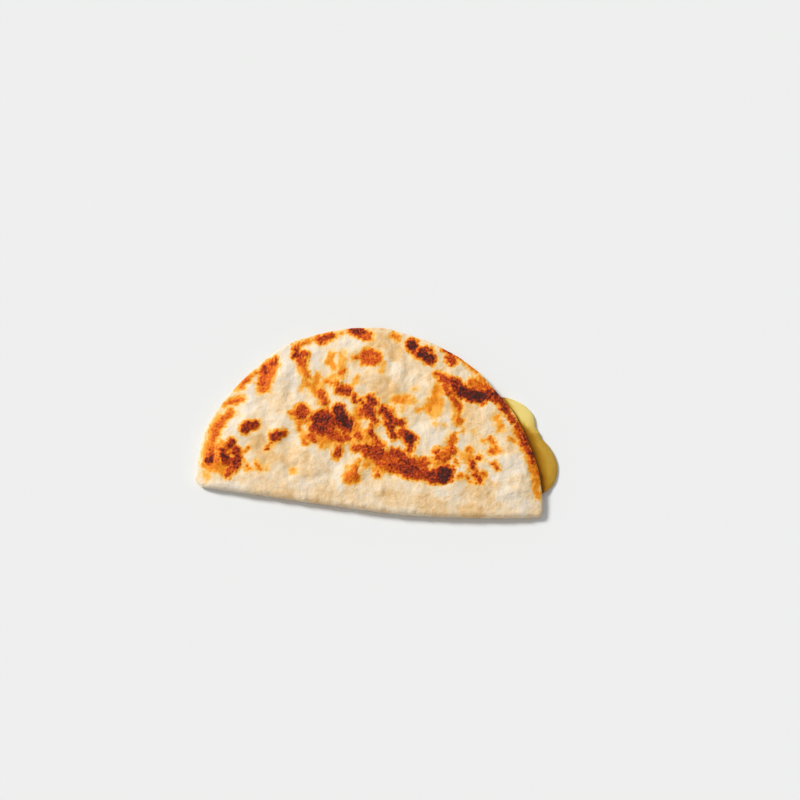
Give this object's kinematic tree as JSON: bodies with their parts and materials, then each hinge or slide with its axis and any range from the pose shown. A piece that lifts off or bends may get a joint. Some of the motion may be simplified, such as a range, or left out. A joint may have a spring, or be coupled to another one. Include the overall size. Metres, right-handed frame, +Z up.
{
  "type": "quesadilla",
  "caption": "Half-moon quesadilla: a round flour tortilla folded over melted cheese, scorched in patches from the pan, with cheese run out at the open edge.",
  "frame": {"origin": "on the surface that the food lies on, under the middle of its bounding box", "axes": "+Z up out of the surface; +X along the fold, towards the end where the cheese has run out; +Y from the fold towards the open, curved edge"},
  "size_m": [0.2102, 0.1112, 0.0085],
  "materials": {
    "tortilla": "dry baked flour dough, pale with golden to dark brown scorch marks",
    "cheese": "melted cheese, smooth and a little oily"
  },
  "bodies": {
    "root": {"tortilla": "tortilla", "cheese": "cheese"}
  },
  "joints": []
}
